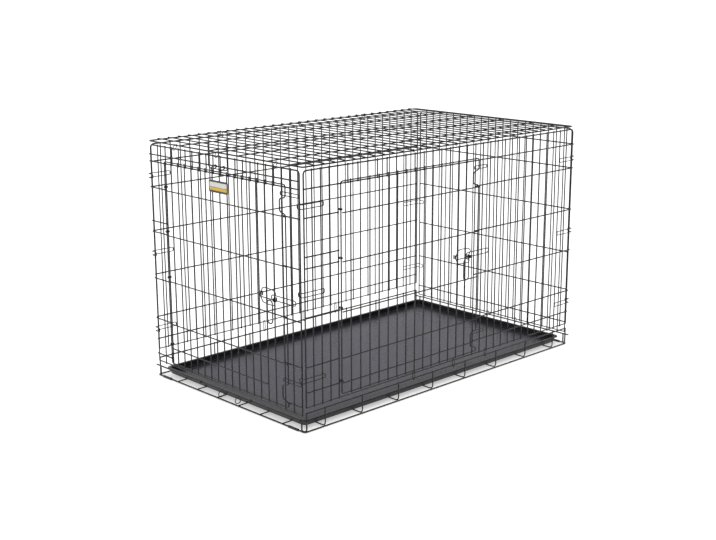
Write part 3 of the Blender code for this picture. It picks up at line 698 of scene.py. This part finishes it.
# %% Base
FLOOR_CROSS_X = (-0.552, -0.397, -0.238, -0.079, 0.079, 0.238, 0.397, 0.552)
FLOOR_LONG_Y = (-0.275, -0.168, -0.061, 0.046, 0.153, 0.26)
BAR_REACH = 0.383
POST_Y = 0.360
POST_X = SIDE_HALF - FRAME_R
FLOOR_BEND, CORNER_BEND = 0.014, 0.008
FLOOR_LONG_Z = BASE_Z + LAYER - 0.6 * MM
TURN_R = 2.1 * MM
base_wires = []
floor_corners = [(-END_X, -SIDE_Y, BASE_Z), (END_X, -SIDE_Y, BASE_Z), (END_X, SIDE_Y, BASE_Z),
                 (-END_X, SIDE_Y, BASE_Z)]
base_wires.append((bent(floor_corners, CORNER_BEND, closed=True), FRAME_R, True))
for x in FLOOR_CROSS_X:
    turn = [(x, -SIDE_Y, RIM_Z + WIRE_END), (x, -SIDE_Y, BASE_Z), (x, SIDE_Y, BASE_Z),
            (x, SIDE_Y, RIM_Z + WIRE_END)]
    base_wires.append((bent(turn, FLOOR_BEND), TURN_R, False))
for y in FLOOR_LONG_Y:
    long_wire = bowed((-END_X - WIRE_END, y, FLOOR_LONG_Z), (END_X + WIRE_END, y, FLOOR_LONG_Z))
    base_wires.append((long_wire, GRID_R, False))
for y in (-SIDE_Y, SIDE_Y):
    base_wires.append((bowed((-POST_X, y, RIM_Z), (POST_X, y, RIM_Z)), FRAME_R, False))
for x in (-1, 1):
    bar = bowed((x * END_X, -BAR_REACH, BAR_Z), (x * END_X, BAR_REACH, BAR_Z))
    base_wires.append((bar, FRAME_R, False))
    for y in (-1, 1):
        post = [(x * END_X, y * POST_Y, BAR_Z), (x * END_X, y * POST_Y, BASE_Z),
                (x * POST_X, y * SIDE_Y, BASE_Z), (x * POST_X, y * SIDE_Y, RIM_Z)]
        base_wires.append((bent(post, CORNER_BEND), FRAME_R, False))
wire_piece("base_basket", "base", coat_black, base_wires,
           ["base_floor", "base_rim_near", "base_rim_far", "base_bar_front", "base_bar_rear"])

# %% [markdown]
# Four soft plastic sleeves on the floor's end wires keep the crate from scratching the
# floor. Each is a short tube with rounded lips: a profile swept round the wire.

# %% Sleeves
sleeve_black = finish_of("sleeve_black", (0.006, 0.006, 0.006), (0.016, 0.016, 0.017),
                         (0.45, 0.65), 220, 1500, 0.5)[0]
SLEEVE_LONG, SLEEVE_R, SLEEVE_SIDES = 0.045, 4.2 * MM, 24
SLEEVE_LIP, SLEEVE_BEAD, SLEEVE_WAIST = 0.8 * MM, 4 * MM, 0.2 * MM
SLEEVE_Y = 0.322


def sleeve(name, x, y, node):
    half = SLEEVE_LONG / 2
    profile = [(-half, FRAME_R), (-half, SLEEVE_R - SLEEVE_LIP), (-half + SLEEVE_LIP, SLEEVE_R),
               (-half + SLEEVE_BEAD, SLEEVE_R), (0, SLEEVE_R - SLEEVE_WAIST),
               (half - SLEEVE_BEAD, SLEEVE_R), (half - SLEEVE_LIP, SLEEVE_R),
               (half, SLEEVE_R - SLEEVE_LIP), (half, FRAME_R)]
    bm = bmesh.new()
    turns = [2 * math.pi * k / SLEEVE_SIDES for k in range(SLEEVE_SIDES)]
    rings = [[bm.verts.new((x + radius * math.cos(a), y + along, BASE_Z + radius * math.sin(a)))
              for a in turns] for along, radius in profile]
    skin(bm, rings + rings[:1])
    mesh_piece(name, "base", [sleeve_black], bm, [node], smooth=True)


for end, x in (("front", -END_X), ("rear", END_X)):
    for side, y in (("near", -SLEEVE_Y), ("far", SLEEVE_Y)):
        sleeve(f"sleeve_{end}_{side}", x, y, f"foot_sleeve_{end}_{side}")

# %% [markdown]
# The pan's plastic is a dark grey with a faint sheen. In the photograph its inside lies in
# shade: the sides are almost black and the floor darkens towards them, while the lip
# stays paler. An even studio light doesn't make that shade, so the finish carries it, as
# one blend by height, by slope and by distance from the walls, on all four sides alike.
# The outside is a second, plainer finish on the same piece.

# %% Pan finishes
pan_grey, pan_shader, pan_tint = finish_of("pan_plastic_grey", (0.040, 0.039, 0.054),
                                           (0.062, 0.060, 0.081), (0.22, 0.30), 7, 700, 0.4,
                                           specular=0.12)
pan_outer = finish_of("pan_plastic_outer", (0.016, 0.016, 0.019), (0.026, 0.026, 0.031),
                      (0.30, 0.42), 7, 700, 0.4, specular=0.40)[0]
WALL_DARK = (0.006, 0.006, 0.008)
FOOT_Z = (pan_low.z + 4 * MM, pan_low.z + 6 * MM)  # the walls begin between these levels
FLAT, STEEP = 0.9, 0.5  # the upward part of the normal on the lip and on a wall
LIP_SHARE = 0.55  # how far the flat lip goes towards the walls' darkness
EDGE_BAND, EDGE_SHARE = 0.115, 0.80  # the floor darkens over this width, by this much
EDGE_INSET = 10 * MM


def shade_inside(tree):
    """The pan's grey, darkened on its walls and towards them."""
    axes = object_axes(tree)
    facing = tree.nodes.new("ShaderNodeSeparateXYZ")
    tree.links.new(tree.nodes.new("ShaderNodeNewGeometry").outputs["Normal"], facing.inputs[0])
    above = ranged(tree, axes["Z"], FOOT_Z, (0, 1), smooth=True)
    slope = ranged(tree, facing.outputs["Z"], (FLAT, STEEP), (LIP_SHARE, 1))
    share = calculate(tree, "MULTIPLY", above, slope)
    for axis, reach in (("X", pan_high.x), ("Y", pan_high.y)):
        outwards = calculate(tree, "ABSOLUTE", axes[axis])
        edges = (reach - EDGE_BAND, reach - EDGE_INSET)
        band = ranged(tree, outwards, edges, (0, EDGE_SHARE), smooth=True)
        share = calculate(tree, "MAXIMUM", share, calculate(tree, "SUBTRACT", band, above))
    return painted(tree, share, pan_tint, WALL_DARK)


pan_grey.node_tree.links.new(shade_inside(pan_grey.node_tree), pan_shader.inputs["Base Color"])
print("pan floor darkens over", EDGE_BAND)

# %% [markdown]
# The pan is one sheet of plastic, formed over a mould: a rolled lip, a sloping wall
# and a floor with a shallow raised border. It is lofted from nested rectangles with
# round corners, from under the rim, round the lip and in to the middle of the floor.

# %% Pan
CORNER_STEPS = 6


def rounded_rectangle(half_x, half_y, corner, z):
    points = []
    for sx, sy, first in ((1, 1, 0), (-1, 1, 1), (-1, -1, 2), (1, -1, 3)):
        for k in range(CORNER_STEPS + 1):
            a = math.pi / 2 * (first + k / CORNER_STEPS)
            points.append((sx * (half_x - corner) + corner * math.cos(a),
                           sy * (half_y - corner) + corner * math.sin(a), z))
    return points


PAN_TOP, PAN_BASE = pan_high.z, pan_low.z
SHEET = 2.5 * MM
PAN_FLOOR = PAN_BASE + SHEET
INSIDE_STEPS = (  # inset from the lip's edge, height, corner radius
    (0.0, PAN_TOP - 2.6 * MM, 0.022), (0.0, PAN_TOP - 0.8 * MM, 0.022), (0.8 * MM, PAN_TOP, 0.0215),
    (8.5 * MM, PAN_TOP, 0.019), (10.0 * MM, PAN_TOP - 1.2 * MM, 0.018),
    (12.5 * MM, PAN_FLOOR + 2 * MM, 0.016), (14.0 * MM, PAN_FLOOR, 0.015),
    (26 * MM, PAN_FLOOR, 0.012), (28 * MM, PAN_FLOOR + 1.1 * MM, 0.012),
    (33 * MM, PAN_FLOOR + 1.1 * MM, 0.012), (35 * MM, PAN_FLOOR + 0.2 * MM, 0.012),
)
OUTSIDE_STEPS = (  # from under the floor up to the lip
    (12.0 * MM, PAN_BASE, 0.015), (10.0 * MM, PAN_BASE + 1.5 * MM, 0.016),
    (7.5 * MM, PAN_TOP - 3.0 * MM, 0.018), (2.0 * MM, PAN_TOP - 2.6 * MM, 0.020),
)
pan_bm = bmesh.new()


def pan_loops(steps):
    """One loop of vertices in pan_bm for each step."""
    return [[pan_bm.verts.new(p)
             for p in rounded_rectangle(pan_high.x - inset, pan_high.y - inset, corner, z)]
            for inset, z, corner in steps]


inside, outside = pan_loops(INSIDE_STEPS), pan_loops(OUTSIDE_STEPS)
for face in skin(pan_bm, outside):
    face.material_index = 1
skin(pan_bm, outside[-1:] + inside)
pan_bm.faces.new(inside[-1])
pan_bm.faces.new(list(reversed(outside[0])))
pan_tray = mesh_piece("pan_tray", "pan", [pan_grey, pan_outer], pan_bm,
                      ["pan", *(f"pan_wall_{side}" for side in ("front", "rear", "near", "far"))],
                      smooth=True)
flatten = pan_tray.modifiers.new("flat_walls", "WEIGHTED_NORMAL")  # only the bends shade round
flatten.weight = 100

# %% Pan pulls
PULL_X = pan_low.x - 12.8 * MM
PULL_Z = 0.0215
PULL_LONG, PULL_TALL, PULL_R = 0.022, 0.019, 1.5 * MM
pulls = [(oval((PULL_X, y, PULL_Z), (1, 0, 0), UP, PULL_LONG, PULL_TALL), PULL_R, True)
         for y in (-0.055, 0.030)]
wire_piece("pan_pull_rings", "pan", ring_black, pulls, ["pan_pull_1", "pan_pull_2"])

# %% [markdown]
# A small plastic plate sits on the end door. It is a thin rounded tile with a black
# border, and its face is left blank apart from two flat fields of colour. The fields
# are drawn by comparing object coordinates with edges, so they stay sharp at any size.

# %% Plate finish
plate_low, plate_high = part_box("name_plate")
plate_finish, plate_shader, plate_tint = finish_of(
    "plate_face", (0.010, 0.010, 0.010), (0.022, 0.022, 0.022), (0.22, 0.34), 60, 900, 0.15)
PLATE_BORDER = 4.5 * MM
PLATE_FOOT, PLATE_HEAD = PLATE_BORDER * 1.5, PLATE_BORDER * 1.3
PLATE_YELLOW = (0.80, 0.50, 0.03)
PLATE_PALE = (0.82, 0.81, 0.76)
YELLOW_SHARE = 0.42
FIELD_GAP = 1.2 * MM


def inside_field(tree, value, low, high):
    """1 where the value lies between low and high, and 0 outside."""
    return calculate(tree, "MULTIPLY", calculate(tree, "GREATER_THAN", value, low),
                     calculate(tree, "LESS_THAN", value, high))


def add_field(tree, under, colour, y_range, z_range):
    """Lays a flat rectangle of colour over the colour under it."""
    axes = object_axes(tree)
    mask = calculate(tree, "MULTIPLY", inside_field(tree, axes["Y"], *y_range),
                     inside_field(tree, axes["Z"], *z_range))
    return painted(tree, mask, under, colour)


field_y = (plate_low.y + PLATE_BORDER, plate_high.y - PLATE_BORDER)
field_z = (plate_low.z + PLATE_FOOT, plate_high.z - PLATE_HEAD)
band_z = field_z[0] + (field_z[1] - field_z[0]) * YELLOW_SHARE
plate_tree = plate_finish.node_tree
pale = add_field(plate_tree, plate_tint, PLATE_PALE, field_y, (band_z, field_z[1]))
both_fields = add_field(plate_tree, pale, PLATE_YELLOW, field_y, (field_z[0], band_z - FIELD_GAP))
plate_tree.links.new(both_fields, plate_shader.inputs["Base Color"])
print("fields", field_y, field_z)

# %% Plate
PLATE_CORNER, PLATE_EDGE = 6 * MM, 0.6 * MM
plate_bm = bmesh.new()
half_y, half_z = (plate_high.y - plate_low.y) / 2, (plate_high.z - plate_low.z) / 2
middle_y, middle_z = (plate_high.y + plate_low.y) / 2, (plate_high.z + plate_low.z) / 2
plate_loops = []
for x, inset in ((plate_high.x, 0), (plate_low.x + PLATE_EDGE, 0), (plate_low.x, PLATE_EDGE)):
    outline = rounded_rectangle(half_y - inset, half_z - inset, PLATE_CORNER - inset, 0)
    plate_loops.append([plate_bm.verts.new((x, middle_y + a, middle_z + b)) for a, b, _ in outline])
skin(plate_bm, plate_loops)
plate_bm.faces.new(plate_loops[0])
plate_bm.faces.new(plate_loops[-1])
mesh_piece("plate_tile", "front_door", [plate_finish], plate_bm, ["name_plate"], smooth=False)

# %% [markdown]
# The photograph shows the crate on plain white. A wide floor takes its soft shadow.
# The floor's own colour is a pale grey, and it glows a little where the camera or a
# reflection looks at it, which lifts it to white without more light on the crate.

# %% Floor
FLOOR_REACH = 120.0
FLOOR_SHADE, FLOOR_GLOW = 0.80, 0.48


def seen_directly(tree):
    """1 for camera, glossy and transmitted rays, and 0 for the rest."""
    rays = tree.nodes.new("ShaderNodeLightPath").outputs
    mirrored = calculate(tree, "MAXIMUM", rays["Is Camera Ray"], rays["Is Glossy Ray"])
    return calculate(tree, "MAXIMUM", mirrored, rays["Is Transmission Ray"])


floor_mesh = bpy.data.meshes.new("floor")
corners = [(x * FLOOR_REACH, y * FLOOR_REACH, 0) for x, y in ((-1, -1), (1, -1), (1, 1), (-1, 1))]
floor_mesh.from_pydata(corners, [], [(0, 1, 2, 3)])
floor = bpy.data.objects.new("floor", floor_mesh)
bpy.context.scene.collection.objects.link(floor)
floor_white = bpy.data.materials.new("floor_white")
floor_white.use_nodes = True
floor_tree = floor_white.node_tree
floor_tree.nodes.remove(floor_tree.nodes["Principled BSDF"])
matt = floor_tree.nodes.new("ShaderNodeBsdfDiffuse")
matt.inputs["Color"].default_value = (FLOOR_SHADE, FLOOR_SHADE, FLOOR_SHADE, 1)
glow = floor_tree.nodes.new("ShaderNodeEmission")
lift = calculate(floor_tree, "MULTIPLY", seen_directly(floor_tree), FLOOR_GLOW)
floor_tree.links.new(lift, glow.inputs["Strength"])
lit_floor = floor_tree.nodes.new("ShaderNodeAddShader")
floor_tree.links.new(matt.outputs[0], lit_floor.inputs[0])
floor_tree.links.new(glow.outputs[0], lit_floor.inputs[1])
floor_tree.links.new(lit_floor.outputs[0], floor_tree.nodes["Material Output"].inputs["Surface"])
floor_mesh.materials.append(floor_white)
print("floor", 2 * FLOOR_REACH, "across")

# %% [markdown]
# The light is that of a plain white studio, brighter overhead than at the sides, which
# gives the level wires paler tops than the uprights. The camera and reflections see even
# white. Two soft suns light the wide floor evenly, where lamps near the crate would
# leave the distance grey.

# %% World
SKY_RISE = (0.25, 0.75)  # both the levels of light and the heights between which they change
SKY_WHITE = 1.0
world = bpy.data.worlds.new("studio")
bpy.context.scene.world = world
world.use_nodes = True
tree = world.node_tree
sky = tree.nodes["Background"]
sky.inputs["Color"].default_value = (1, 1, 1, 1)
toward = tree.nodes.new("ShaderNodeSeparateXYZ")
tree.links.new(tree.nodes.new("ShaderNodeTexCoord").outputs["Generated"], toward.inputs[0])
pick = tree.nodes.new("ShaderNodeMix")
tree.links.new(seen_directly(tree), pick.inputs["Factor"])
tree.links.new(ranged(tree, toward.outputs["Z"], SKY_RISE, SKY_RISE, smooth=True), pick.inputs["A"])
pick.inputs["B"].default_value = SKY_WHITE
tree.links.new(pick.outputs["Result"], sky.inputs["Strength"])
print("world", world.name)

# %% Lamps
for name, strength, softness, direction in (
        ("top_sun", 1.3, 40, (0.15, 0.25, -1.0)), ("side_sun", 0.4, 30, (0.9, 0.45, -0.7))):
    lamp = bpy.data.lights.new(name, "SUN")
    lamp.energy = strength
    lamp.angle = math.radians(softness)
    sun = bpy.data.objects.new(name, lamp)
    sun.rotation_euler = Vector(direction).to_track_quat("-Z", "Y").to_euler()
    bpy.context.scene.collection.objects.link(sun)
    print(name, strength)

# %% [markdown]
# The camera stands at the corner between the two doors, a little above the roof. Its
# place, aim and lens come from lining up the crate's seven visible corners with the
# photograph. Blender's camera looks along its own -Z, so the aim is turned into that.

# %% Camera
AIM_TURN, AIM_DOWN, AIM_ROLL = 43.73, 14.07, 0.19  # degrees: from +Y towards +X, down, roll
CAMERA_PLACE = (-2.884, -2.960, 1.359)
LENS_PIXELS, PHOTO_WIDTH, SENSOR = 1232.2, 716, 36.0
FAR_CLIP = 500
camera_data = bpy.data.cameras.new("camera")
camera_data.sensor_width = SENSOR
camera_data.lens = LENS_PIXELS * SENSOR / PHOTO_WIDTH
camera_data.clip_end = FAR_CLIP
camera = bpy.data.objects.new("camera", camera_data)
camera.location = CAMERA_PLACE
camera.rotation_euler = (math.radians(90 - AIM_DOWN), math.radians(AIM_ROLL), -math.radians(AIM_TURN))
bpy.context.scene.collection.objects.link(camera)
bpy.context.scene.camera = camera
bpy.context.scene.view_settings.view_transform = "Standard"
print("lens", round(camera_data.lens, 2))
